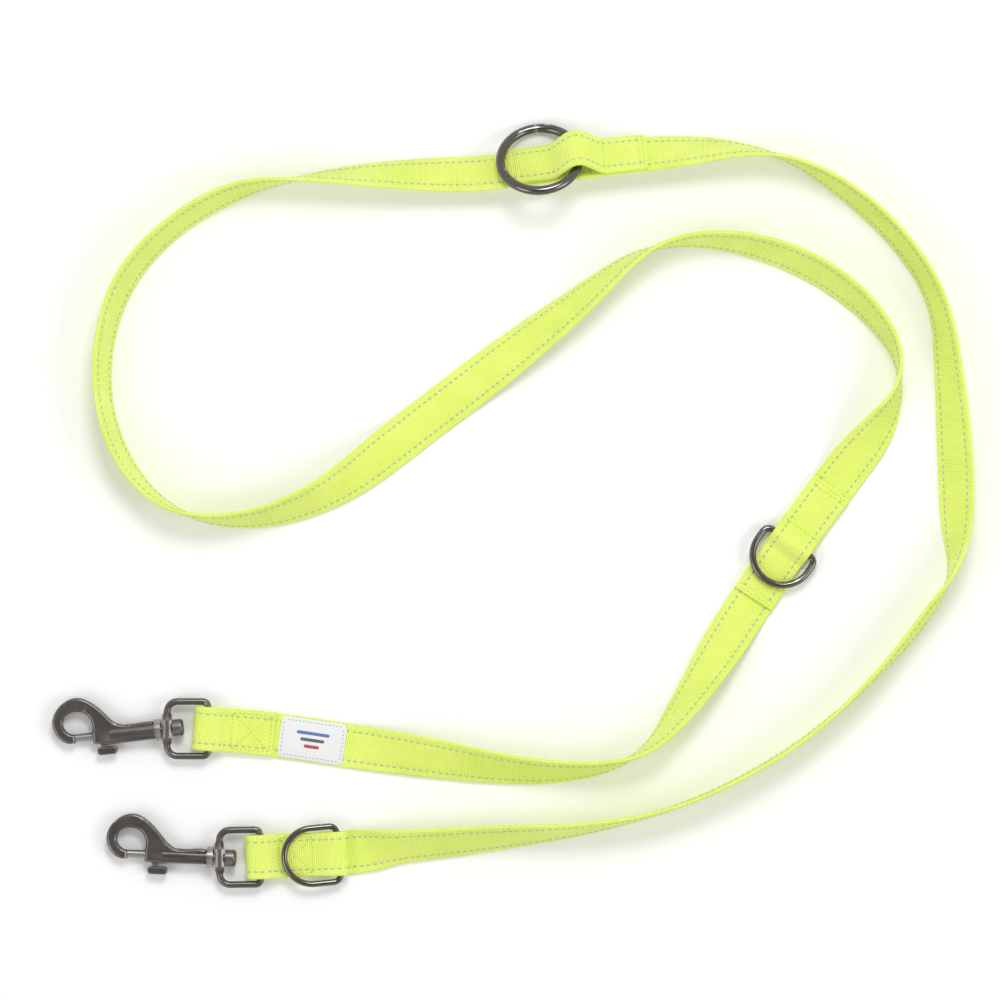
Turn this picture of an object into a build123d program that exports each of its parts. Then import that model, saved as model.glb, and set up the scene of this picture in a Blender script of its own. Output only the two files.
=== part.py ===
from build123d import *
import math
import os

# A double-ended training leash, laid loosely on a flat surface at z = 0.  Millimetres, +Z up.
# The origin is the middle of the leash's hardware and end loops, at the surface it lies on.

# Webbing: one long flat strap
WEB_WIDTH = 20.0
WEB_THICK = 1.8
LOFT_SPAN = 24              # cross-sections in one stretch of the strap
ARC_SHARE = 0.45            # how much of the shorter run each bend takes up

# Swivel snaps: u runs along the swivel pin towards the strap, v across it, w up
SNAP_HEIGHT = 5.0           # height of the swivel pin and of the eye above the surface
SNAP_DIP = 2.1              # degrees that the hook end hangs lower than the eye
EYE_WIRE = 3.1
EYE_LENGTH = 18.6           # between the middles of the eye's two bars
EYE_HALF_WIDTH = 12.4       # to the middle of its side wires
EYE_NEAR_CORNER = 4.8
EYE_FAR_CORNER = 2.4
BOSS_RADIUS = 3.5
BOSS_LENGTH = 8.0
BOSS_TAPER = 6.0
BOSS_HALF_FLAT = 2.1
BOSS_HOLE_RADIUS = 2.35
POST_RADIUS = 1.8
POST_DEPTH = -7.0
POST_HEAD_RADIUS = 3.9
POST_HEAD_START = 2.75
POST_HEAD_LENGTH = 4.9
COLLAR_RADIUS = 4.8
COLLAR_START = -5.5
COLLAR_END = -2.75
HOOK_THICK = 6.0
TIP_FACE = -42.0            # where the hook's point ends
MOUTH_FACE = -33.9          # front of the barrel, across the mouth
BORE_RADIUS = 1.93
BORE_END = -8.5
PLUNGER_RADIUS = 1.85
PLUNGER_TAIL = -22.0
GUIDE_RADIUS = 1.0
GUIDE_END = -17.0
GATE_TRAVEL = 8.3
LEVER_NECK = 2.7            # length along u
LEVER_NECK_START = -30.5
LEVER_NECK_THICK = 2.6
LEVER_STUD_RADIUS = 0.8
SLOT_WIDTH = 2.8
SLOT_MARGIN = 0.5
SPRING_WIRE = 0.45
SPRING_RADIUS = 1.45        # to the middle of the wire
SPRING_COILS = 8

# Rings
MID_RING_WIRE = 3.1
MID_RING_WIDTH = 30.5
MID_RING_DEPTH = 23.6
MID_RING_HEIGHT = 3.68      # middle of its bar
MID_RING_TILT = 6.0
END_RING_WIRE = 2.8
END_RING_WIDTH = 28.2
END_RING_DEPTH = 27.6
END_RING_HEIGHT = 5.3
END_RING_TILT = 5.5
RING_BAR_CORNER = 3.2
O_RING_WIRE = 4.2
O_RING_DIAMETER = 40.0
O_RING_SEAM_GAP = 0.6       # degrees of arc left open where the wire's ends meet
O_RING_PIVOT_RISE = 4.1     # from the strap's face to the ring's pivot line
O_RING_PIVOT_INSET = 1.5    # from the top of the arc back to the pivot line

# Where each snap's eye is tied in: the middle of the eye's far bar, and headings in degrees
EYE_BAR_A = (-109.9, -101.2)
EYE_BAR_B = (-86.1, -159.4)
LOOP_HEADING_A = -5.0
LOOP_HEADING_B = 2.5
EYE_HEADING_A = 0.0
EYE_HEADING_B = 1.0
HOOK_HEADING_A = 6.0
HOOK_HEADING_B = -2.5
BARREL_RADIUS_A = 4.0
BARREL_RADIUS_B = 3.3
END_RING_REACH = 35.6       # from end b's eye bar to the end ring's bar
END_RING_HEADING = 5.5

# End loops: the strap's folded ends, drawn as the middle line of the webbing
LOOP_START = 5.4            # where the long strap ends and the folded end begins
LOOP_FRONT = -5.7
LOOP_TOP = 7.8
LOOP_BEND = 3.44
FOLD_BEND = 2.51
LAYER_GAP = 0.1
END_A_LAYER_END = 30.3

# Sewn-on pieces, measured along the strap
LABEL_START = 27.2
LABEL_LENGTH = 30.0
LABEL_WIDTH = 18.6
LABEL_THICK = 0.4
D_PATCH_LENGTH = 62.0
O_PATCH_LENGTH = 63.0
D_PATCH_RISE = 3.75         # how far the patch bulges over the ring's bar
O_PATCH_RISE = 8.5
D_PATCH_BULGE = 7.5         # half the bulge's length
O_PATCH_BULGE = 13.5
PATCH_STEPS = 32
LABEL_STEPS = 3

# The long strap's route from end a to end b: x, y, height of its middle line, and roll in
# degrees.  Roll 0 lies flat with face F up, 90 stands on edge, 180 lies flat with face G up.
WEBBING_ROUTE = [
    (-104.5, -101.7, 0.9, 0), (-81, -103.8, 0.9, 0), (-44, -109.4, 0.9, 0), (-14, -113.5, 4.9, 22),
    (24, -119.5, 8, 47), (50, -121, 9.2, 61), (73, -118.5, 9.9, 77), (90, -111, 9.9, 98),
    (103, -95.5, 9, 121), (116, -76, 6.8, 143), (131.2, -52.3, 0.9, 180),
    (146.15, -29.4, 0.9, 180), (164.25, -4.2, 0.9, 180), (181.8, 19, 1.5, 184), (193.5, 34, 7.3, 216),
    (202, 48, 9.7, 252), (205, 62, 10, 271), (200.6, 75.6, 9.8, 287), (189.4, 90.3, 9.3, 298),
    (172.4, 104.1, 8.7, 305), (151.6, 114.4, 8.9, 303), (131, 119.9, 9.4, 296), (111.5, 121.3, 9.9, 286),
    (95, 118.5, 10, 272), (80.6, 111.2, 9.8, 253), (62.3, 95.6, 8.4, 233), (38, 76.5, 6, 210),
    (8, 53.5, 0.9, 180), (-24, 29, 0.9, 180), (-50, 8.5, 7.3, 142), (-77, -4, 8.9, 122),
    (-105, -7.5, 9.9, 103), (-130.5, -0.5, 9.9, 82), (-149, 20.2, 9.8, 72), (-158, 47, 9.8, 72),
    (-157.5, 75.8, 9.7, 69), (-148.4, 103.4, 9.3, 63), (-127.2, 126.6, 9.5, 66), (-98.5, 143.6, 9.6, 66),
    (-69, 149, 9.9, 94), (-37, 150.3, 8.9, 122), (-6, 150.3, 7.1, 141), (16, 150.8, 8, 144),
    (35.6, 153.6, 8.8, 144), (79.2, 158.8, 8.8, 145), (97.5, 160.4, 8.4, 139), (114, 161.5, 8.9, 127),
    (132, 162.1, 9.9, 108), (155, 158.3, 10, 86), (182, 142.5, 9.5, 68), (207, 119, 9.5, 68),
    (223, 92, 9.6, 69), (227, 58, 8.5, 54), (229.5, 25, 7, 40), (230.4, -7, 7.3, 43),
    (229.5, -29, 10, 86), (218, -48, 9.9, 107), (195, -76, 10, 97), (164, -104.5, 10, 90),
    (130, -125.5, 10, 91), (96, -139.5, 10, 92), (60, -147, 9.8, 105), (18, -151, 8.3, 126),
    (-8, -153.4, 7.7, 134), (-27, -155.1, 7, 141), (-41, -157.1, 0.9, 180), (-54, -158.1, 0.9, 180),
    (-67, -158.6, 0.9, 180), (-80.7, -159.2, 0.9, 180),
]
D_PATCH_RUN = 11            # the run of the route that each patch is centred on
O_PATCH_RUN = 43

UP = Vector(0, 0, 1)


def route_points():
    return [Vector(x, y, z) for x, y, z, _ in WEBBING_ROUTE]


def route_bends():
    """Each inner point's arc radius, tangent length and arc length."""
    points = route_points()
    bends = []
    for before, corner, after in zip(points, points[1:], points[2:]):
        shorter = min((corner - before).length, (after - corner).length)
        turn = math.radians((corner - before).get_angle(after - corner))
        tangent = ARC_SHARE * shorter
        radius = tangent / math.tan(turn / 2)
        bends.append((radius, tangent, radius * turn))
    return bends


def route_stations(bends):
    """Distance along the path to each route point, and to the middle of each run."""
    points = route_points()
    ends = [(0.0, 0.0, 0.0)]
    shaped = ends + bends + ends
    corners = [0.0]
    middles = []
    for index in range(len(points) - 1):
        run = (points[index + 1] - points[index]).length
        _, tangent, arc = shaped[index]
        _, next_tangent, next_arc = shaped[index + 1]
        leaving = corners[-1] + arc / 2
        middles.append(leaving + run / 2 - tangent)
        corners.append(leaving + run - tangent - next_tangent + next_arc / 2)
    return corners, middles


BENDS = route_bends()
CORNERS, MIDDLES = route_stations(BENDS)
PATH = FilletPolyline(*route_points(), radius=[radius for radius, _, _ in BENDS])


def roll_at(distance):
    for index in range(len(CORNERS) - 1):
        if distance <= CORNERS[index + 1]:
            break
    span = CORNERS[index + 1] - CORNERS[index]
    share = (distance - CORNERS[index]) / span
    first = WEBBING_ROUTE[index][3]
    last = WEBBING_ROUTE[index + 1][3]
    return first + (last - first) * min(max(share, 0), 1)


def resting_height(roll):
    """Height of the strap's middle line when its lowest edge is on the surface."""
    angle = math.radians(roll)
    return WEB_WIDTH / 2 * abs(math.sin(angle)) + WEB_THICK / 2 * abs(math.cos(angle))


def strap_plane(distance, rise=0.0):
    """The cross-section plane: x across the strap, y out of face F, raised along y by rise."""
    share = min(max(distance / PATH.length, 0), 1)
    point = PATH @ share
    along = (PATH % share).normalized()
    left = UP.cross(along).normalized()
    upward = along.cross(left)
    roll = roll_at(distance)
    angle = math.radians(roll)
    across = left * math.cos(angle) + upward * math.sin(angle)
    outward = upward * math.cos(angle) - left * math.sin(angle)
    height = max(point.Z, resting_height(roll))
    centre = Vector(point.X, point.Y, height) + outward * rise
    return Plane(origin=centre, x_dir=across, z_dir=along)


def strip(distances, rises, width, thick):
    """A flat strip that follows the strap, through a cross-section at each distance."""
    sections = []
    for distance, rise in zip(distances, rises):
        sections.append(strap_plane(distance, rise) * Rectangle(width, thick))
    return loft(sections, ruled=True)


def even_distances(start, end, count):
    return [start + (end - start) * step / count for step in range(count + 1)]


def patch_distances(run, length):
    middle = MIDDLES[run]
    return even_distances(middle - length / 2, middle + length / 2, PATCH_STEPS)


def label_distances():
    return even_distances(LABEL_START, LABEL_START + LABEL_LENGTH, LABEL_STEPS)


def webbing_distances():
    """The route's corners and run middles, and under a sewn-on piece the same steps as it has."""
    sewn = [
        label_distances(),
        patch_distances(D_PATCH_RUN, D_PATCH_LENGTH),
        patch_distances(O_PATCH_RUN, O_PATCH_LENGTH),
    ]
    distances = []
    for distance in CORNERS + MIDDLES:
        covered = any(piece[0] - 1 < distance < piece[-1] + 1 for piece in sewn)
        if not covered:
            distances.append(distance)
    for piece in sewn:
        distances.extend(piece)
    return sorted(distances)


def webbing():
    distances = webbing_distances()
    strap = None
    for start in range(0, len(distances) - 1, LOFT_SPAN):
        stretch = distances[start:start + LOFT_SPAN + 1]
        solid = strip(stretch, [0] * len(stretch), WEB_WIDTH, WEB_THICK)
        strap = solid if strap is None else strap + solid
    return strap


def label():
    distances = label_distances()
    rise = WEB_THICK / 2 + LABEL_THICK / 2
    return strip(distances, [rise] * len(distances), LABEL_WIDTH, LABEL_THICK)


def patch(run, length, bulge_rise, bulge_half):
    """A sewn-on length of webbing over face G that bulges over a ring at its middle."""
    distances = patch_distances(run, length)
    rises = []
    for distance in distances:
        share = min(abs(distance - MIDDLES[run]) / bulge_half, 1)
        bulge = bulge_rise * (1 + math.cos(math.pi * share)) / 2
        rises.append(-(WEB_THICK + bulge))
    return strip(distances, rises, WEB_WIDTH, WEB_THICK)


def folded_end(profile, bends, bar, heading):
    """Webbing folded in the upright plane through an eye bar; profile is (along, height)."""
    middle_line = FilletPolyline(*[(along, 0, height) for along, height in profile], radius=bends)
    section = Plane(origin=middle_line @ 0, x_dir=(0, 1, 0), z_dir=middle_line % 0)
    folded = sweep(section * Rectangle(WEB_WIDTH, WEB_THICK), path=middle_line)
    return Pos(*bar) * Rot(Z=heading) * folded


def webbing_end_a():
    layer = WEB_THICK * 1.5
    profile = [
        (LOOP_START, WEB_THICK / 2), (LOOP_FRONT, WEB_THICK / 2), (LOOP_FRONT, LOOP_TOP),
        (1.5, LOOP_TOP), (8.5, layer), (END_A_LAYER_END, layer),
    ]
    return folded_end(profile, [LOOP_BEND, LOOP_BEND, 3.0, 3.0], EYE_BAR_A, LOOP_HEADING_A)


def webbing_end_b():
    hem = WEB_THICK * 1.5 + LAYER_GAP / 2
    layer = hem + WEB_THICK + LAYER_GAP
    fold = END_RING_REACH + 3.1
    profile = [
        (LOOP_START, WEB_THICK / 2), (LOOP_FRONT, WEB_THICK / 2), (LOOP_FRONT, LOOP_TOP),
        (1.4, LOOP_TOP), (7.0, layer), (END_RING_REACH - 10.5, layer),
        (END_RING_REACH - 4.0, LOOP_TOP), (fold, LOOP_TOP), (fold, hem), (8.5, hem),
    ]
    bends = [LOOP_BEND, LOOP_BEND, 2.5, 2.5, 2.5, 2.5, FOLD_BEND, FOLD_BEND]
    return folded_end(profile, bends, EYE_BAR_B, LOOP_HEADING_B)


def wire_link(length, half_width, near_corner, far_corner, wire):
    """A closed wire link in the XY plane, from a bar on the Y axis out along +X."""
    bend = [near_corner, min(far_corner, half_width - 0.01)]
    half_line = FilletPolyline((0, 0), (0, half_width), (length, half_width), (length, 0), radius=bend)
    section = Plane(origin=half_line @ 0, z_dir=half_line % 0) * Circle(wire / 2)
    half = sweep(section, path=half_line)
    return half + mirror(half, about=Plane.XZ)


def strap_direction(heading):
    angle = math.radians(heading)
    return Vector(math.cos(angle), math.sin(angle), 0)


def raised(direction, upward, degrees):
    """direction turned by degrees towards upward."""
    angle = math.radians(degrees)
    return direction * math.cos(angle) + upward * math.sin(angle)


def d_ring(pivot, bow, tilt, width, depth, wire):
    """A D-shaped ring whose bar is at pivot and whose bow lies towards bow, tilted up."""
    link = wire_link(depth - wire, (width - wire) / 2, RING_BAR_CORNER, width, wire)
    direction = raised(bow, UP, tilt)
    normal = raised(UP, bow * -1, tilt)
    return Plane(origin=pivot, x_dir=direction, z_dir=normal).location * link


def d_ring_mid():
    plane = strap_plane(MIDDLES[D_PATCH_RUN])
    pivot = Vector(plane.origin.X, plane.origin.Y, MID_RING_HEIGHT)
    bow = plane.z_dir * -1
    return d_ring(pivot, bow, MID_RING_TILT, MID_RING_WIDTH, MID_RING_DEPTH, MID_RING_WIRE)


def d_ring_end():
    reach = strap_direction(LOOP_HEADING_B) * END_RING_REACH
    pivot = Vector(EYE_BAR_B[0], EYE_BAR_B[1], END_RING_HEIGHT) + reach
    bow = strap_direction(END_RING_HEADING) * -1
    return d_ring(pivot, bow, END_RING_TILT, END_RING_WIDTH, END_RING_DEPTH, END_RING_WIRE)


def o_ring():
    plane = strap_plane(MIDDLES[O_PATCH_RUN])
    outward = plane.y_dir * -1
    pivot = plane.origin + outward * (WEB_THICK / 2 + O_RING_PIVOT_RISE)
    radius = (O_RING_DIAMETER - O_RING_WIRE) / 2
    centre = pivot - plane.z_dir * (radius - O_RING_PIVOT_INSET)
    wire = Plane.XZ * Pos(radius, 0) * Circle(O_RING_WIRE / 2)
    ring = revolve(wire, axis=Axis.Z, revolution_arc=360 - O_RING_SEAM_GAP)
    seam_side = plane.x_dir * -1
    return Plane(origin=centre, x_dir=seam_side, z_dir=outward).location * ring


def along_u(radius, start, end):
    """A round bar on the u axis."""
    return Pos((start + end) / 2, 0, 0) * Rot(Y=90) * Cylinder(radius, end - start)


def swivel_eye():
    link = wire_link(EYE_LENGTH, EYE_HALF_WIDTH, EYE_NEAR_CORNER, EYE_FAR_CORNER, EYE_WIRE)
    half = BOSS_LENGTH / 2
    outline = Polyline(
        (0, -half - BOSS_TAPER), (BOSS_RADIUS, -half), (BOSS_RADIUS, half), (0, half + BOSS_TAPER),
        close=True,
    )
    boss = revolve(make_face(outline), axis=Axis.Y)
    flats = Box(BOSS_HALF_FLAT * 2, 20, 10)
    eye = link + (boss & flats)
    return eye - along_u(BOSS_HOLE_RADIUS, -5, 5)


def swivel_post():
    shank = along_u(POST_RADIUS, POST_DEPTH, POST_HEAD_START + 1)
    head = along_u(POST_HEAD_RADIUS, POST_HEAD_START, POST_HEAD_START + POST_HEAD_LENGTH)
    rim = head.edges().group_by(Axis.X)[-1]
    return shank + fillet(rim, 1.6)


def hook_outline(barrel):
    """The hook's side view, from the barrel round the crown to the point and back."""
    outer = Spline(
        (-6, barrel), (-13.5, barrel), (-20.5, barrel + 0.2), (-23.7, 5.6), (-27.2, 9.5), (-32.1, 14.5),
        (-39.5, 18.2), (-47.5, 15.2), (-51.6, 8), (-50, 1.6), (-44, -2.4),
    )
    inner = Spline(
        (TIP_FACE, 1.7), (-45.4, 3.2), (-47, 6.7), (-45.4, 10.4), (-41, 11.9), (-36.4, 10.6),
        (MOUTH_FACE, 6.8), (MOUTH_FACE, 2.2),
    )
    point = Polyline((-44, -2.4), (TIP_FACE, -2.3), (TIP_FACE, 1.7))
    underside = Polyline(
        (MOUTH_FACE, 2.2), (MOUTH_FACE, -3.3), (-25.8, -barrel - 0.4), (-6, -barrel), (-6, barrel)
    )
    return make_face(outer.edges() + point.edges() + inner.edges() + underside.edges())


def hook_body(barrel):
    plate = extrude(hook_outline(barrel), amount=HOOK_THICK / 2, both=True)
    rims = plate.faces().filter_by(Axis.Z).edges()
    plate = fillet(rims, 1.2)
    body = plate + along_u(barrel, -26, COLLAR_START)
    body = body + along_u(COLLAR_RADIUS, COLLAR_START, COLLAR_END)
    body = body - along_u(BORE_RADIUS, MOUTH_FACE - 1, BORE_END)
    body = body - along_u(POST_RADIUS, POST_DEPTH, 0)
    slot_start = LEVER_NECK_START - SLOT_MARGIN
    slot_end = LEVER_NECK_START + LEVER_NECK + GATE_TRAVEL + SLOT_MARGIN
    slot = Box(slot_end - slot_start, 8, SLOT_WIDTH)
    return body - Pos((slot_start + slot_end) / 2, -4, 0) * slot


def plunger():
    rod = along_u(PLUNGER_RADIUS, TIP_FACE + 0.05, PLUNGER_TAIL)
    guide = along_u(GUIDE_RADIUS, PLUNGER_TAIL, GUIDE_END)
    stud_hole = Pos(LEVER_NECK_START + LEVER_NECK / 2, -1, 0) * Rot(X=90) * Cylinder(LEVER_STUD_RADIUS, 2)
    return rod + guide - stud_hole


def thumb_lever():
    middle = LEVER_NECK_START + LEVER_NECK / 2
    stud = Pos(middle, -1.5, 0) * Rot(X=90) * Cylinder(LEVER_STUD_RADIUS, 3)
    neck_top = -PLUNGER_RADIUS - 0.02
    neck_foot = -6.0
    neck = Box(LEVER_NECK, neck_top - neck_foot, LEVER_NECK_THICK)
    tab_outline = Pos(-27.95, -7.05) * RectangleRounded(9.1, 3.5, 1.6)
    tab = extrude(tab_outline, amount=2.2, both=True)
    tab = fillet(tab.faces().filter_by(Axis.Z).edges(), 0.8)
    return tab + Pos(middle, (neck_top + neck_foot) / 2, 0) * neck + stud


def plunger_spring():
    start = PLUNGER_TAIL + SPRING_WIRE / 2 + 0.05
    end = BORE_END - SPRING_WIRE / 2 - 0.05
    coil = Helix(pitch=(end - start) / SPRING_COILS, height=end - start, radius=SPRING_RADIUS)
    section = Plane(origin=coil @ 0, z_dir=coil % 0) * Circle(SPRING_WIRE / 2)
    wire = sweep(section, path=coil, is_frenet=True)
    return Pos(start, 0, 0) * Rot(Y=90) * wire


def snap_places(bar, eye_heading, hook_heading):
    """Where the eye and the hook go; both start from the middle of the eye's boss."""
    boss = Vector(bar[0], bar[1], SNAP_HEIGHT) - strap_direction(eye_heading) * EYE_LENGTH
    eye_place = Pos(*boss) * Rot(Z=eye_heading)
    hook_place = Pos(*boss) * Rot(Z=hook_heading) * Rot(Y=-SNAP_DIP)
    return eye_place, hook_place


def snap(suffix, bar, eye_heading, hook_heading, barrel):
    eye_place, hook_place = snap_places(bar, eye_heading, hook_heading)
    return {
        "swivel_eye_" + suffix: eye_place * swivel_eye(),
        "swivel_post_" + suffix: hook_place * swivel_post(),
        "hook_body_" + suffix: hook_place * hook_body(barrel),
        "plunger_" + suffix: hook_place * plunger(),
        "thumb_lever_" + suffix: hook_place * thumb_lever(),
        "plunger_spring_" + suffix: hook_place * plunger_spring(),
    }


def leash():
    parts = {
        "webbing": webbing(),
        "webbing_end_a": webbing_end_a(),
        "webbing_end_b": webbing_end_b(),
        "label": label(),
        "d_ring_patch": patch(D_PATCH_RUN, D_PATCH_LENGTH, D_PATCH_RISE, D_PATCH_BULGE),
        "o_ring_patch": patch(O_PATCH_RUN, O_PATCH_LENGTH, O_PATCH_RISE, O_PATCH_BULGE),
        "d_ring_mid": d_ring_mid(),
        "d_ring_end": d_ring_end(),
        "o_ring": o_ring(),
    }
    parts.update(snap("a", EYE_BAR_A, EYE_HEADING_A, HOOK_HEADING_A, BARREL_RADIUS_A))
    parts.update(snap("b", EYE_BAR_B, EYE_HEADING_B, HOOK_HEADING_B, BARREL_RADIUS_B))
    return parts


def report(parts):
    print("bend radii:", [round(radius) for radius, _, _ in BENDS])
    print("strap length:", round(PATH.length, 1))
    share = parts["webbing"].volume / (PATH.length * WEB_WIDTH * WEB_THICK)
    print("strap volume against section times length:", round(share, 4))


PARTS = leash()
os.makedirs("parts", exist_ok=True)
for name, shape in PARTS.items():
    export_step(shape, "parts/" + name + ".step")
report(PARTS)
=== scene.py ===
"""The looks of a double-ended training leash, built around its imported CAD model."""
import math
import random

import bpy
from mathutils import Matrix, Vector


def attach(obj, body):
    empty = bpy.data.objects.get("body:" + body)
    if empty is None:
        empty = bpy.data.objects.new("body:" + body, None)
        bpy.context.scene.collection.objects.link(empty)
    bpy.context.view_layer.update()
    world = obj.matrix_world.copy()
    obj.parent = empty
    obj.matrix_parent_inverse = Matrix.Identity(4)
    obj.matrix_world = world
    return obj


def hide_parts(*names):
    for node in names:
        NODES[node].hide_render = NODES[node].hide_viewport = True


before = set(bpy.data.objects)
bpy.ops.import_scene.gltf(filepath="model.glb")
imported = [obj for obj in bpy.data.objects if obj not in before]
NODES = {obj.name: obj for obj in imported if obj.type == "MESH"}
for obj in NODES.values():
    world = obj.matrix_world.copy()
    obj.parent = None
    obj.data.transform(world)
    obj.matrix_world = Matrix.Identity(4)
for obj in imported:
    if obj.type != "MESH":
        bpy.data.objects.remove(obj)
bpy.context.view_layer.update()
random.seed(7)

UP = Vector((0, 0, 1))
WEB_WIDTH = 0.020
WEB_THICK = 0.0018
STITCH_LINE = 0.0067        # from the strap's middle to each line of reflective stitches
STITCH_PITCH = 0.0030
STITCH_LENGTH = 0.0019
STITCH_WIDTH = 0.00075
STITCH_RISE = 0.00026       # how far a stitch stands out of the strap
SURFACE = WEB_THICK / 2 - 0.00002
SPLINE_STEPS = 24

# The long strap's route from end a to end b: x, y, height of its middle line, in metres, and its
# roll in degrees.  Roll 0 lies flat with face F up, 90 stands on edge, 180 lies with face G up.
WEBBING_ROUTE = [
    (-0.1045, -0.1017, 0.0009, 0), (-0.081, -0.1038, 0.0009, 0), (-0.044, -0.1094, 0.0009, 0),
    (-0.014, -0.1135, 0.0049, 22), (0.024, -0.1195, 0.008, 47), (0.05, -0.121, 0.0092, 61),
    (0.073, -0.1185, 0.0099, 77), (0.09, -0.111, 0.0099, 98), (0.103, -0.0955, 0.009, 121),
    (0.116, -0.076, 0.0068, 143), (0.1312, -0.0523, 0.0009, 180), (0.14615, -0.0294, 0.0009, 180),
    (0.16425, -0.0042, 0.0009, 180), (0.1818, 0.019, 0.0015, 184), (0.1935, 0.034, 0.0073, 216),
    (0.202, 0.048, 0.0097, 252), (0.205, 0.062, 0.01, 271), (0.2006, 0.0756, 0.0098, 287),
    (0.1894, 0.0903, 0.0093, 298), (0.1724, 0.1041, 0.0087, 305), (0.1516, 0.1144, 0.0089, 303),
    (0.131, 0.1199, 0.0094, 296), (0.1115, 0.1213, 0.0099, 286), (0.095, 0.1185, 0.01, 272),
    (0.0806, 0.1112, 0.0098, 253), (0.0623, 0.0956, 0.0084, 233), (0.038, 0.0765, 0.006, 210),
    (0.008, 0.0535, 0.0009, 180), (-0.024, 0.029, 0.0009, 180), (-0.05, 0.0085, 0.0073, 142),
    (-0.077, -0.004, 0.0089, 122), (-0.105, -0.0075, 0.0099, 103), (-0.1305, -0.0005, 0.0099, 82),
    (-0.149, 0.0202, 0.0098, 72), (-0.158, 0.047, 0.0098, 72), (-0.1575, 0.0758, 0.0097, 69),
    (-0.1484, 0.1034, 0.0093, 63), (-0.1272, 0.1266, 0.0095, 66), (-0.0985, 0.1436, 0.0096, 66),
    (-0.069, 0.149, 0.0099, 94), (-0.037, 0.1503, 0.0089, 122), (-0.006, 0.1503, 0.0071, 141),
    (0.016, 0.1508, 0.008, 144), (0.0356, 0.1536, 0.0088, 144), (0.0792, 0.1588, 0.0088, 145),
    (0.0975, 0.1604, 0.0084, 139), (0.114, 0.1615, 0.0089, 127), (0.132, 0.1621, 0.0099, 108),
    (0.155, 0.1583, 0.01, 86), (0.182, 0.1425, 0.0095, 68), (0.207, 0.119, 0.0095, 68),
    (0.223, 0.092, 0.0096, 69), (0.227, 0.058, 0.0085, 54), (0.2295, 0.025, 0.007, 40),
    (0.2304, -0.007, 0.0073, 43), (0.2295, -0.029, 0.01, 86), (0.218, -0.048, 0.0099, 107),
    (0.195, -0.076, 0.01, 97), (0.164, -0.1045, 0.01, 90), (0.13, -0.1255, 0.01, 91),
    (0.096, -0.1395, 0.01, 92), (0.06, -0.147, 0.0098, 105), (0.018, -0.151, 0.0083, 126),
    (-0.008, -0.1534, 0.0077, 134), (-0.027, -0.1551, 0.007, 141), (-0.041, -0.1571, 0.0009, 180),
    (-0.054, -0.1581, 0.0009, 180), (-0.067, -0.1586, 0.0009, 180), (-0.0807, -0.1592, 0.0009, 180),
]
D_PATCH_RUN = 11
O_PATCH_RUN = 43
D_PATCH_LENGTH = 0.062
O_PATCH_LENGTH = 0.063
LABEL_START = 0.0272
LABEL_LENGTH = 0.030
LABEL_WIDTH = 0.0186
LABEL_THICK = 0.0004
LABEL_CORNER = 0.0022
LABEL_BORDER = 0.0013       # from the label's edge to its line of stitches
D_PATCH_RISE = 0.00375      # how far each patch bulges over its ring, and half the bulge's length
D_PATCH_BULGE = 0.0075
O_PATCH_RISE = 0.0085
O_PATCH_BULGE = 0.0135
PATCH_STEPS = 120
SEAM_PITCH = 0.0019
SEAM_WIDTH = 0.0006
SEAM_HALF = 0.0088          # half the length of a seam across the strap
BOX_HALF = 0.0082           # half the width of a sewn box

# The strap's folded ends in their upright planes: (along from the eye's bar, height), in metres.
END_A_BAR = Vector((-0.1099, -0.1012, 0))
END_A_HEADING = -5.0
END_A_PROFILE = [
    (0.0054, 0.0009), (-0.0057, 0.0009), (-0.0057, 0.0078), (0.0026, 0.0078), (0.0085, 0.0027),
    (0.0125, 0.0027), (0.0303, 0.0027),
]
END_B_BAR = Vector((-0.0861, -0.1594, 0))
END_B_HEADING = 2.5
END_B_PROFILE = [
    (0.0054, 0.0009), (-0.0057, 0.0009), (-0.0057, 0.0078), (0.0024, 0.0078), (0.0076, 0.00465),
    (0.0115, 0.00465), (0.0251, 0.00465), (0.0316, 0.0078), (0.0387, 0.0078), (0.0387, 0.00275),
    (0.0337, 0.00275), (0.0085, 0.00275),
]


def smooth_line(points):
    """The points along the NURBS curve that has these control points."""
    curve = bpy.data.curves.new("route", "CURVE")
    curve.dimensions = "3D"
    curve.resolution_u = SPLINE_STEPS
    spline = curve.splines.new("NURBS")
    spline.points.add(len(points) - 1)
    for point, place in zip(spline.points, points):
        point.co = (*place, 1)
    spline.order_u = 3
    spline.use_endpoint_u = True
    holder = bpy.data.objects.new("route", curve)
    mesh = bpy.data.meshes.new_from_object(holder)
    line = [vertex.co.copy() for vertex in mesh.vertices]
    bpy.data.objects.remove(holder)
    bpy.data.curves.remove(curve)
    bpy.data.meshes.remove(mesh)
    return line


def resting_height(roll):
    """Height of the strap's middle line when its lowest edge is on the floor."""
    return WEB_WIDTH / 2 * abs(math.sin(roll)) + WEB_THICK / 2 * abs(math.cos(roll))


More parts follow.
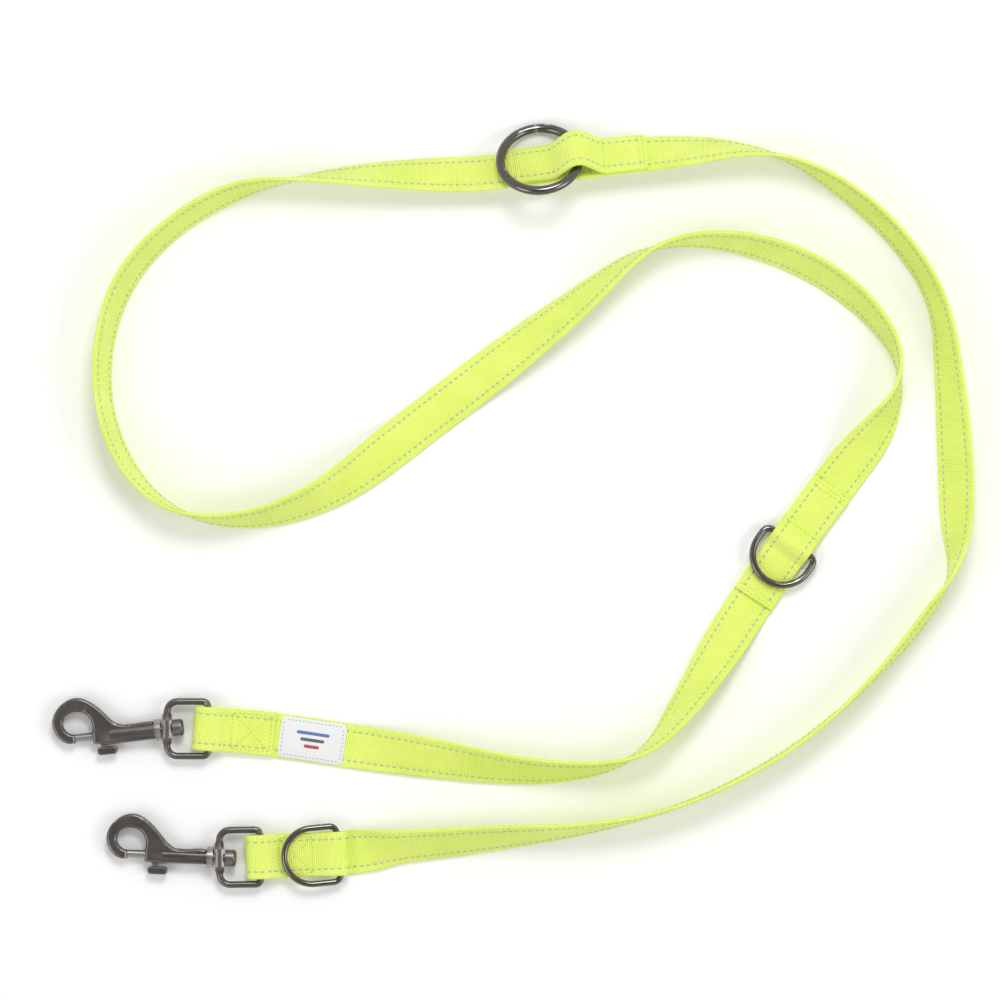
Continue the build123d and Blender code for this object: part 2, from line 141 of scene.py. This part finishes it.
class Strip:
    """A line with a direction across and a direction outward at each of its points."""

    def __init__(self, centres, across, outward):
        self.centres = centres
        self.across = across
        self.outward = outward
        self.distances = [0.0]
        for first, second in zip(centres, centres[1:]):
            self.distances.append(self.distances[-1] + (second - first).length)

    @property
    def length(self):
        return self.distances[-1]

    def at(self, distance):
        """Centre, across and outward at a distance along the line."""
        low, high = 0, len(self.distances) - 2
        while low < high:
            middle = (low + high + 1) // 2
            if self.distances[middle] <= distance:
                low = middle
            else:
                high = middle - 1
        span = self.distances[low + 1] - self.distances[low]
        share = (distance - self.distances[low]) / span
        blend = [a[low].lerp(a[low + 1], share) for a in (self.centres, self.across, self.outward)]
        return blend[0], blend[1].normalized(), blend[2].normalized()

    def nearest(self, place):
        """Distance along the line of its nearest point."""
        gaps = [(centre - place).length for centre in self.centres]
        return self.distances[gaps.index(min(gaps))]

    def raised(self, start, end, steps, rise):
        """A new strip from start to end, raised by rise(share) along outward."""
        centres, across, outward = [], [], []
        for step in range(steps + 1):
            share = step / steps
            centre, side, out = self.at(start + (end - start) * share)
            centres.append(centre + out * rise(share))
            across.append(side)
        for index in range(steps + 1):
            ahead = centres[min(index + 1, steps)] - centres[max(index - 1, 0)]
            outward.append(ahead.cross(across[index]).normalized())
        return Strip(centres, across, outward)


def strap_strip():
    line = smooth_line([place[:3] for place in WEBBING_ROUTE])
    rolls = smooth_line([(math.radians(place[3]), 0, 0) for place in WEBBING_ROUTE])
    centres, across, outward = [], [], []
    for index, (point, roll_point) in enumerate(zip(line, rolls)):
        roll = roll_point.x
        ahead = line[min(index + 1, len(line) - 1)] - line[max(index - 1, 0)]
        along = ahead.normalized()
        left = UP.cross(along).normalized()
        upward = along.cross(left)
        across.append(left * math.cos(roll) + upward * math.sin(roll))
        outward.append(upward * math.cos(roll) - left * math.sin(roll))
        centres.append(Vector((point.x, point.y, max(point.z, resting_height(roll)))))
    return Strip(centres, across, outward)


# Half of the webbing's cross-section as (across, outward) shares of half its width and thickness:
# a rounded selvage, a flat band, the sunken stitch line and a slightly crowned middle.
SECTION = [
    (-1.0, 0.0), (-0.994, 0.45), (-0.965, 0.86), (-0.92, 1.0), (-0.84, 1.0), (-0.74, 0.97),
    (-0.70, 0.84), (-0.67, 0.80), (-0.64, 0.84), (-0.60, 0.97), (-0.45, 1.0), (-0.2, 1.0), (0.0, 1.0),
]


def web_section():
    left = SECTION[:-1]
    top = SECTION + [(-a, o) for a, o in reversed(left)]
    return top + [(a, -o) for a, o in reversed(top[1:-1])]


def web_mesh(name, strip, start_u=0.0, width=WEB_WIDTH, thick=WEB_THICK, section=None):
    """Webbing along a strip; its UV is metres along and metres across."""
    section = section or web_section()
    count = len(section)
    points, faces, uvs = [], [], []
    for centre, side, out in zip(strip.centres, strip.across, strip.outward):
        for across, outward in section:
            points.append(centre + side * (across * width / 2) + out * (outward * thick / 2))
    rows = len(strip.centres)
    for row in range(rows - 1):
        for item in range(count):
            after = (item + 1) % count
            faces.append((row * count + item, (row + 1) * count + item,
                          (row + 1) * count + after, row * count + after))
            low = start_u + strip.distances[row]
            high = start_u + strip.distances[row + 1]
            near = section[item][0] * width / 2
            far = section[after][0] * width / 2
            uvs += [(low, near), (high, near), (high, far), (low, far)]
    for row in (0, rows - 1):
        cap = [row * count + item for item in range(count)]
        faces.append(cap if row == 0 else cap[::-1])
        along = start_u + strip.distances[row]
        cap_uvs = [(along, across * width / 2) for across, _ in section]
        uvs += cap_uvs if row == 0 else cap_uvs[::-1]
    return mesh_object(name, points, faces, uvs)


def mesh_object(name, points, faces, uvs=None):
    mesh = bpy.data.meshes.new(name)
    mesh.from_pydata([tuple(point) for point in points], [], faces)
    if uvs:
        layer = mesh.uv_layers.new(name="strap")
        layer.data.foreach_set("uv", [value for pair in uvs for value in pair])
    mesh.polygons.foreach_set("use_smooth", [True] * len(mesh.polygons))
    mesh.update()
    piece = bpy.data.objects.new(name, mesh)
    bpy.context.scene.collection.objects.link(piece)
    return piece


def finish_piece(piece, body, material, replaced=()):
    piece.data.materials.clear()
    piece.data.materials.append(material)
    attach(piece, body)
    if replaced:
        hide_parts(*replaced)
    return piece


# ---- camera, light and floor ----

VIEW_CENTRE = Vector((0.02275, 0.00273, 0.0))
VIEW_WIDTH = 0.455
CAMERA_HEIGHT = 3.2
SENSOR = 36.0
KEY_WATTS = 13
FILL_WATTS = 6
SIDE_WATTS = 5.5
WORLD_STRENGTH = 0.48


def camera():
    data = bpy.data.cameras.new("camera")
    data.sensor_width = SENSOR
    data.lens = SENSOR * CAMERA_HEIGHT / VIEW_WIDTH
    eye = bpy.data.objects.new("camera", data)
    eye.location = VIEW_CENTRE + UP * CAMERA_HEIGHT
    bpy.context.scene.collection.objects.link(eye)
    bpy.context.scene.camera = eye


def area_light(name, place, target, size, watts, colour=(1, 1, 1)):
    data = bpy.data.lights.new(name, "AREA")
    data.shape = "DISK"
    data.size = size
    data.energy = watts
    data.color = colour
    lamp = bpy.data.objects.new(name, data)
    lamp.location = place
    lamp.rotation_euler = (Vector(target) - Vector(place)).to_track_quat("-Z", "Y").to_euler()
    bpy.context.scene.collection.objects.link(lamp)


def studio():
    bpy.context.scene.view_settings.view_transform = "Standard"
    area_light("key", (0.15, 0.95, 1.5), (0.02, 0.0, 0), 0.7, KEY_WATTS)
    area_light("fill", (-1.1, -0.6, 1.2), (0, 0, 0), 1.0, FILL_WATTS)
    area_light("side", (1.2, -0.3, 1.1), (0, 0, 0), 0.8, SIDE_WATTS)
    world = bpy.data.worlds.new("studio")
    world.use_nodes = True
    background = world.node_tree.nodes["Background"]
    background.inputs["Strength"].default_value = WORLD_STRENGTH
    place = node(world.node_tree, "ShaderNodeTexCoord")
    split = node(world.node_tree, "ShaderNodeSeparateXYZ")
    world.node_tree.links.new(place.outputs["Generated"], split.inputs[0])
    tent = [
        (0.0, (0.9, 0.9, 0.9)), (0.35, (1.6, 1.6, 1.6)), (0.72, (1.25, 1.25, 1.25)), (0.93, (0.6, 0.6, 0.6)),
    ]
    shade = ramp(world.node_tree, split.outputs["Z"], tent)
    world.node_tree.links.new(shade, background.inputs["Color"])
    bpy.context.scene.world = world
    floor = mesh_object("floor", [(-3, -3, 0), (3, -3, 0), (3, 3, 0), (-3, 3, 0)], [(0, 1, 2, 3)])
    floor.data.materials.append(plain_material("floor_white", (0.94, 0.94, 0.94), 0.9))


# ---- materials ----


def new_material(name):
    material = bpy.data.materials.new(name)
    material.use_nodes = True
    return material, material.node_tree, material.node_tree.nodes["Principled BSDF"]


def plain_material(name, colour, roughness):
    material, _, shader = new_material(name)
    shader.inputs["Base Color"].default_value = (*colour, 1)
    shader.inputs["Roughness"].default_value = roughness
    return material


def node(tree, kind, **values):
    made = tree.nodes.new(kind)
    for name, value in values.items():
        setattr(made, name, value)
    return made


def maths(tree, operation, first, second=None):
    made = node(tree, "ShaderNodeMath", operation=operation)
    for socket, value in zip(made.inputs, (first, second)):
        if value is None:
            continue
        if isinstance(value, (int, float)):
            socket.default_value = value
        else:
            tree.links.new(value, socket)
    return made.outputs[0]


def ramp(tree, factor, stops):
    made = node(tree, "ShaderNodeValToRGB")
    tree.links.new(factor, made.inputs["Fac"])
    elements = made.color_ramp.elements
    while len(elements) < len(stops):
        elements.new(0.5)
    for element, (place, colour) in zip(elements, stops):
        element.position = place
        element.color = (*colour, 1)
    return made.outputs["Color"]


RIB_PITCH = 0.00098
WARP_PITCH = 0.00062
WEB_COLOUR = (0.73, 0.87, 0.14)
# The darkest webbing colour: darker dye patches, and painted shade in the grooves between the ribs.
WEB_DEEP_DYE_AND_GROOVE_SHADE = (0.50, 0.64, 0.05)
# Painted glow: the webbing gives off a faint light of its own, though it is no lamp.
WEB_PAINTED_GLOW = 0.06


def webbing_material():
    """Fluorescent yellow webbing: cross ribs crossed by warp threads, with painted highlight on the ribs,
    painted shade in their grooves, slight dye variation and a faint painted glow.
    """
    material, tree, shader = new_material("fluorescent_webbing")
    place = node(tree, "ShaderNodeUVMap", uv_map="strap")
    split = node(tree, "ShaderNodeSeparateXYZ")
    tree.links.new(place.outputs["UV"], split.inputs[0])
    along, across = split.outputs["X"], split.outputs["Y"]
    noise = node(tree, "ShaderNodeTexNoise")
    noise.inputs["Scale"].default_value = 300
    noise.inputs["Detail"].default_value = 3
    tree.links.new(place.outputs["UV"], noise.inputs["Vector"])
    wander = maths(tree, "MULTIPLY", noise.outputs["Fac"], 0.0007)
    rib_turn = maths(tree, "MULTIPLY", maths(tree, "ADD", along, wander), 2 * math.pi / RIB_PITCH)
    rib = maths(tree, "MULTIPLY_ADD", maths(tree, "SINE", rib_turn), 0.5)
    rib.node.inputs[2].default_value = 0.5
    warp_turn = maths(tree, "MULTIPLY", across, 2 * math.pi / WARP_PITCH)
    warp = maths(tree, "MULTIPLY_ADD", maths(tree, "SINE", warp_turn), 0.5)
    warp.node.inputs[2].default_value = 0.5
    ribs = maths(tree, "MULTIPLY", rib, 0.72)
    weave = maths(tree, "ADD", ribs, maths(tree, "MULTIPLY", warp, 0.28))
    broad = node(tree, "ShaderNodeTexNoise")
    broad.inputs["Scale"].default_value = 55
    broad.inputs["Detail"].default_value = 4
    tree.links.new(place.outputs["UV"], broad.inputs["Vector"])
    patchy = maths(tree, "MULTIPLY", broad.outputs["Fac"], 0.5)
    shade = maths(tree, "ADD", maths(tree, "MULTIPLY", weave, 0.6), patchy)
    # Painted highlight and shade: the weave makes the colour lighter on the ribs' ridges and darker in their
    # grooves; the broad noise adds real dye variation.
    colour = ramp(tree, shade, [(0.08, WEB_DEEP_DYE_AND_GROOVE_SHADE), (0.5, WEB_COLOUR), (1.0, (0.84, 0.95, 0.25))])
    tree.links.new(colour, shader.inputs["Base Color"])
    # Painted glow: the webbing colour is also given off as faint emission.
    tree.links.new(colour, shader.inputs["Emission Color"])
    shader.inputs["Emission Strength"].default_value = WEB_PAINTED_GLOW
    roughness = maths(tree, "MULTIPLY_ADD", weave, -0.16)
    roughness.node.inputs[2].default_value = 0.78
    tree.links.new(roughness, shader.inputs["Roughness"])
    shader.inputs["Sheen Weight"].default_value = 0.25
    shader.inputs["Specular IOR Level"].default_value = 0.35
    bump = node(tree, "ShaderNodeBump")
    bump.inputs["Strength"].default_value = 0.7
    bump.inputs["Distance"].default_value = 0.00032
    tree.links.new(weave, bump.inputs["Height"])
    tree.links.new(bump.outputs["Normal"], shader.inputs["Normal"])
    return material


def thread_material(name, colour, dark, roughness, metallic=0.0):
    """Twisted sewing thread: fine slanting strands."""
    material, tree, shader = new_material(name)
    coordinates = node(tree, "ShaderNodeTexCoord")
    wave = node(tree, "ShaderNodeTexWave", bands_direction="DIAGONAL")
    wave.inputs["Scale"].default_value = 900
    wave.inputs["Distortion"].default_value = 1.5
    tree.links.new(coordinates.outputs["Object"], wave.inputs["Vector"])
    shade = ramp(tree, wave.outputs["Fac"], [(0.0, dark), (0.7, colour)])
    tree.links.new(shade, shader.inputs["Base Color"])
    shader.inputs["Roughness"].default_value = roughness
    shader.inputs["Metallic"].default_value = metallic
    bump = node(tree, "ShaderNodeBump")
    bump.inputs["Strength"].default_value = 0.5
    bump.inputs["Distance"].default_value = 0.0001
    tree.links.new(wave.outputs["Fac"], bump.inputs["Height"])
    tree.links.new(bump.outputs["Normal"], shader.inputs["Normal"])
    return material


def metal_material(name, colour, edge_colour, low, high, grain):
    """Gunmetal plating: cloudy tone, lighter along sharp edges, fine cast grain."""
    material, tree, shader = new_material(name)
    coordinates = node(tree, "ShaderNodeTexCoord")
    cloud = node(tree, "ShaderNodeTexNoise")
    cloud.inputs["Scale"].default_value = 160
    cloud.inputs["Detail"].default_value = 5
    tree.links.new(coordinates.outputs["Object"], cloud.inputs["Vector"])
    geometry = node(tree, "ShaderNodeNewGeometry")
    # A lighter colour along sharp convex edges, found by pointiness.
    edge = ramp(tree, geometry.outputs["Pointiness"], [(0.50, (0, 0, 0)), (0.62, (1, 1, 1))])
    tone = ramp(tree, cloud.outputs["Fac"], [(0.3, colour), (0.75, tuple(c * 1.25 for c in colour))])
    mix = node(tree, "ShaderNodeMix", data_type="RGBA")
    tree.links.new(edge, mix.inputs["Factor"])
    tree.links.new(tone, mix.inputs["A"])
    mix.inputs["B"].default_value = (*edge_colour, 1)
    tree.links.new(mix.outputs["Result"], shader.inputs["Base Color"])
    shader.inputs["Metallic"].default_value = 1.0
    rough = node(tree, "ShaderNodeMapRange")
    rough.inputs["To Min"].default_value = low
    rough.inputs["To Max"].default_value = high
    tree.links.new(cloud.outputs["Fac"], rough.inputs["Value"])
    tree.links.new(rough.outputs["Result"], shader.inputs["Roughness"])
    grit = node(tree, "ShaderNodeTexNoise")
    grit.inputs["Scale"].default_value = 1400
    grit.inputs["Detail"].default_value = 2
    tree.links.new(coordinates.outputs["Object"], grit.inputs["Vector"])
    bump = node(tree, "ShaderNodeBump")
    bump.inputs["Strength"].default_value = grain
    bump.inputs["Distance"].default_value = 0.00006
    tree.links.new(grit.outputs["Fac"], bump.inputs["Height"])
    tree.links.new(bump.outputs["Normal"], shader.inputs["Normal"])
    return material


# ---- the strap ----

camera()
studio()
WEBBING = webbing_material()
REFLECTIVE = thread_material("reflective_thread", (0.60, 0.60, 0.58), (0.30, 0.32, 0.22), 0.45)
LABEL_THREAD = thread_material("grey_label_thread", (0.36, 0.37, 0.39), (0.22, 0.22, 0.24), 0.7)
SEWING = thread_material("yellow_sewing_thread", (0.68, 0.82, 0.13), (0.42, 0.54, 0.05), 0.75)

STRAP = strap_strip()
strap = web_mesh("strap", STRAP)
finish_piece(strap, "strap", WEBBING, ["webbing"])


def thread_dash(points, faces, start, end, out, width, height):
    """One stitch: a low rounded stroke from start to end that dips in at both ends."""
    along = end - start
    side = out.cross(along).normalized()
    profile = [
        (0.0, 0.35, -0.5), (0.12, 0.85, 0.45), (0.5, 1.0, 1.0), (0.88, 0.85, 0.45), (1.0, 0.35, -0.5),
    ]
    ring = [(-0.5, -0.3), (-0.38, 0.55), (0.0, 1.0), (0.38, 0.55), (0.5, -0.3)]
    base = len(points)
    for share, wide, tall in profile:
        centre = start + along * share
        for across, up in ring:
            lift = height * (tall - 1 + up * wide)
            points.append(centre + side * (across * width * wide) + out * lift)
    count = len(ring)
    for row in range(len(profile) - 1):
        for item in range(count):
            after = (item + 1) % count
            first = base + row * count
            second = first + count
            faces.append((first + item, first + after, second + after, second + item))
    faces.append(tuple(base + item for item in range(count))[::-1])
    last = base + (len(profile) - 1) * count
    faces.append(tuple(last + item for item in range(count)))


def dash_on(strip, side, begin, finish, points, faces, width):
    """A stitch between two (along, across) places on one side of a strip, if it clears the floor."""
    first, across_a, out_a = strip.at(begin[0])
    last, across_b, out_b = strip.at(finish[0])
    start = first + across_a * begin[1] + out_a * side * SURFACE
    end = last + across_b * finish[1] + out_b * side * SURFACE
    if min(start.z, end.z) > STITCH_RISE * 1.5:
        thread_dash(points, faces, start, end, out_a * side, width, STITCH_RISE)


def edge_rows(strip, sides, start, end, points, faces):
    """The two rows of reflective stitches near the edges of a strip."""
    for line in (-STITCH_LINE, STITCH_LINE):
        for side in sides:
            place = start + random.uniform(0, STITCH_PITCH)
            while place + STITCH_LENGTH < end:
                first = place + random.uniform(-0.06, 0.06) * STITCH_PITCH
                drift = random.uniform(-0.00006, 0.00006)
                finish = (first + STITCH_LENGTH, line - drift)
                dash_on(strip, side, (first, line + drift), finish, points, faces, STITCH_WIDTH)
                place += STITCH_PITCH


def seam(strip, side, begin, finish, points, faces):
    """A straight row of sewing between two (along, across) places on one side of a strip."""
    run = math.hypot(finish[0] - begin[0], finish[1] - begin[1])
    count = max(1, round(run / SEAM_PITCH))
    for index in range(count):
        ends = []
        for share in ((index + 0.12) / count, (index + 0.88) / count):
            wobble = random.uniform(-0.00008, 0.00008)
            along = begin[0] + (finish[0] - begin[0]) * share + wobble
            ends.append((along, begin[1] + (finish[1] - begin[1]) * share + wobble))
        dash_on(strip, side, ends[0], ends[1], points, faces, SEAM_WIDTH)


def box_seam(strip, side, start, end, points, faces):
    """A sewn rectangle with its two diagonals."""
    corners = [(start, -BOX_HALF), (end, -BOX_HALF), (end, BOX_HALF), (start, BOX_HALF)]
    for first, second in zip(corners, corners[1:] + corners[:1]):
        seam(strip, side, first, second, points, faces)
    seam(strip, side, corners[0], corners[2], points, faces)
    seam(strip, side, corners[1], corners[3], points, faces)


def stitches(name, points, faces, material):
    return finish_piece(mesh_object(name, points, faces), "strap", material)


def folded_end(profile, bar, heading):
    """The strap's folded end as a strip; its outward side is the outside of the fold."""
    angle = math.radians(heading)
    direction = Vector((math.cos(angle), math.sin(angle), 0))
    lateral = UP.cross(direction)
    line = smooth_line([(along, 0, height) for along, height in profile])
    centres = [bar + direction * point.x + UP * point.z for point in line]
    outward = []
    for index in range(len(centres)):
        ahead = centres[min(index + 1, len(centres) - 1)] - centres[max(index - 1, 0)]
        outward.append(ahead.cross(lateral).normalized())
    return Strip(centres, [lateral.copy() for _ in centres], outward)


def bulging_patch(run, length, rise, half):
    """Webbing sewn over face G, bulging over a ring at the middle of one run of the route."""
    points = [Vector(place[:3]) for place in WEBBING_ROUTE]
    middle = STRAP.nearest((points[run] + points[run + 1]) / 2)

    def lift(share):
        away = min(abs(share - 0.5) * length / half, 1)
        return -(WEB_THICK + rise * (1 + math.cos(math.pi * away)) / 2)

    return STRAP.raised(middle - length / 2, middle + length / 2, PATCH_STEPS, lift)


# ---- the folded ends, the patches over the rings, and the stitching ----

END_A = folded_end(END_A_PROFILE, END_A_BAR, END_A_HEADING)
END_B = folded_end(END_B_PROFILE, END_B_BAR, END_B_HEADING)
D_PATCH = bulging_patch(D_PATCH_RUN, D_PATCH_LENGTH, D_PATCH_RISE, D_PATCH_BULGE)
O_PATCH = bulging_patch(O_PATCH_RUN, O_PATCH_LENGTH, O_PATCH_RISE, O_PATCH_BULGE)
for name, strip in (("webbing_end_a", END_A), ("webbing_end_b", END_B),
                    ("d_ring_patch", D_PATCH), ("o_ring_patch", O_PATCH)):
    piece = web_mesh("sewn_" + name, strip)
    finish_piece(piece, "strap", WEBBING, [name])

points, faces = [], []
edge_rows(STRAP, (1, -1), 0.004, STRAP.length - 0.004, points, faces)
edge_rows(END_A, (1,), 0.002, END_A.length - 0.001, points, faces)
edge_rows(END_B, (1,), 0.002, END_B.length - 0.002, points, faces)
edge_rows(D_PATCH, (-1,), 0.001, D_PATCH.length - 0.001, points, faces)
edge_rows(O_PATCH, (-1,), 0.001, O_PATCH.length - 0.001, points, faces)
stitches("reflective_stitches", points, faces, REFLECTIVE)

points, faces = [], []
top_a = END_A.length - 0.0195
box_seam(END_A, 1, top_a, END_A.length - 0.0018, points, faces)
fold_b = END_B.nearest(END_B_BAR + Vector((0.0075, 0, 0.005)))
box_seam(END_B, 1, fold_b + 0.001, fold_b + 0.0165, points, faces)
for patch, bulge in ((D_PATCH, D_PATCH_BULGE), (O_PATCH, O_PATCH_BULGE)):
    middle = patch.length / 2
    for along in (0.0014, 0.0034, middle + bulge + 0.001, patch.length - 0.0034, patch.length - 0.0014):
        seam(patch, -1, (along, -SEAM_HALF), (along, SEAM_HALF), points, faces)
stitches("sewing_stitches", points, faces, SEWING)

# ---- the label ----


def rounded_outline(length, width, corner, inset):
    """A rounded rectangle round (0, 0), inset by a distance, as a list of (x, y)."""
    radius = max(corner - inset, 0.0002)
    half_x = length / 2 - inset - radius
    half_y = width / 2 - inset - radius
    outline = []
    corners = [(half_x, half_y), (-half_x, half_y), (-half_x, -half_y), (half_x, -half_y)]
    for turn, (x, y) in enumerate(corners):
        for step in range(7):
            angle = math.radians(90 * turn + 15 * step)
            outline.append((x + radius * math.cos(angle), y + radius * math.sin(angle)))
    return outline


def on_label(x, y, lift):
    """A place on the label's side of the strap: x and y from the label's middle, lift above it."""
    centre, across, outward = STRAP.at(LABEL_START + LABEL_LENGTH / 2 + x)
    return centre + across * y + outward * (WEB_THICK / 2 + lift)


def label_layer(name, length, width, corner, low, high, material, offset=(0, 0), replaced=()):
    """A thin rounded layer lying on the label's place, softly rounded along its rim."""
    radius = corner * 0.999
    stations = []
    for step in range(9):
        stations.append(-length / 2 + radius * (1 - math.cos(math.radians(11.25 * step))))
    inner = [-length / 2 + radius + (length - 2 * radius) * step / 16 for step in range(1, 16)]
    stations = stations + inner + [-x for x in reversed(stations)]
    points, faces, uvs, places = [], [], [], []
    for x in stations:
        short = max(abs(x) - (length / 2 - radius), 0)
        half = width / 2 - radius + math.sqrt(max(radius ** 2 - short ** 2, 0)) + 0.00004
        rim = min(0.00012, half * 0.4)
        section = [(-half, low), (-half, high - 0.00006), (-half + rim, high), (-half * 0.3, high),
                   (half * 0.3, high), (half - rim, high), (half, high - 0.00006), (half, low)]
        for y, lift in section:
            places.append((x + offset[0], y + offset[1]))
            points.append(on_label(x + offset[0], y + offset[1], lift))
    count = len(section)
    for row in range(len(stations) - 1):
        for item in range(count):
            after = (item + 1) % count
            faces.append((row * count + item, row * count + after,
                          (row + 1) * count + after, (row + 1) * count + item))
    last = (len(stations) - 1) * count
    faces.append(list(range(count))[::-1])
    faces.append([last + item for item in range(count)])
    for face in faces:
        uvs += [places[index] for index in face]
    piece = mesh_object(name, points, faces, uvs)
    return finish_piece(piece, "strap", material, replaced)


def label_material(name, colour):
    """Woven satin: very fine threads both ways."""
    material, tree, shader = new_material(name)
    place = node(tree, "ShaderNodeUVMap", uv_map="strap")
    split = node(tree, "ShaderNodeSeparateXYZ")
    tree.links.new(place.outputs["UV"], split.inputs[0])
    warp = maths(tree, "SINE", maths(tree, "MULTIPLY", split.outputs["X"], 2 * math.pi / 0.00045))
    weft = maths(tree, "SINE", maths(tree, "MULTIPLY", split.outputs["Y"], 2 * math.pi / 0.00045))
    weave = maths(tree, "MULTIPLY_ADD", maths(tree, "MULTIPLY", warp, weft), 0.5)
    weave.node.inputs[2].default_value = 0.5
    shade = ramp(tree, weave, [(0.0, tuple(c * 0.86 for c in colour)), (1.0, colour)])
    tree.links.new(shade, shader.inputs["Base Color"])
    shader.inputs["Roughness"].default_value = 0.5
    bump = node(tree, "ShaderNodeBump")
    bump.inputs["Strength"].default_value = 0.4
    bump.inputs["Distance"].default_value = 0.00008
    tree.links.new(weave, bump.inputs["Height"])
    tree.links.new(bump.outputs["Normal"], shader.inputs["Normal"])
    return material


PRINT_WIDTH = 0.0014
LABEL_WHITE = label_material("label_white_satin", (0.86, 0.86, 0.87))
label_layer("label_patch", LABEL_LENGTH, LABEL_WIDTH, LABEL_CORNER, 0.0, LABEL_THICK, LABEL_WHITE,
            replaced=["label"])
# Plain bars: name, colour, length, and distance across from the label's middle.
PRINTS = [
    ("label_bar_blue", (0.10, 0.20, 0.42), 0.0150, 0.0030),
    ("label_bar_grey", (0.12, 0.12, 0.13), 0.0110, 0.0),
    ("label_bar_red", (0.55, 0.06, 0.06), 0.0070, -0.0030),
]
for name, colour, length, height in PRINTS:
    label_layer(name, length, PRINT_WIDTH, PRINT_WIDTH / 2, LABEL_THICK - 0.00002, LABEL_THICK + 0.00006,
                label_material(name, colour), (0, height))

points, faces = [], []
border = rounded_outline(LABEL_LENGTH, LABEL_WIDTH, LABEL_CORNER, LABEL_BORDER)
for first, second in zip(border, border[1:] + border[:1]):
    run = math.hypot(second[0] - first[0], second[1] - first[1])
    count = max(1, round(run / 0.0017))
    if run < 0.0006:
        continue
    for index in range(count):
        low, high = (index + 0.15) / count, (index + 0.8) / count
        ends = [on_label(first[0] + (second[0] - first[0]) * share,
                         first[1] + (second[1] - first[1]) * share, LABEL_THICK) for share in (low, high)]
        thread_dash(points, faces, ends[0], ends[1], STRAP.at(LABEL_START)[2], 0.0004, 0.0002)
border_piece = mesh_object("label_border_stitches", points, faces)
finish_piece(border_piece, "strap", LABEL_THREAD)

# ---- hardware ----

CAST = metal_material("gunmetal_casting", (0.120, 0.106, 0.098), (0.40, 0.38, 0.36), 0.26, 0.40, 0.18)
WIRE = metal_material("gunmetal_wire", (0.120, 0.110, 0.103), (0.46, 0.44, 0.42), 0.13, 0.26, 0.08)
SPRING = metal_material("spring_steel", (0.42, 0.42, 0.43), (0.6, 0.6, 0.6), 0.2, 0.35, 0.1)


def node_material(name):
    if name.startswith("plunger_spring"):
        return SPRING
    if name in ("o_ring", "d_ring_mid", "d_ring_end"):
        return WIRE
    return CAST


for name, piece in NODES.items():
    if piece.hide_render:
        continue
    piece.data.materials.clear()
    piece.data.materials.append(node_material(name))
    piece.data.shade_smooth()
    piece.data.set_sharp_from_angle(angle=math.radians(32))
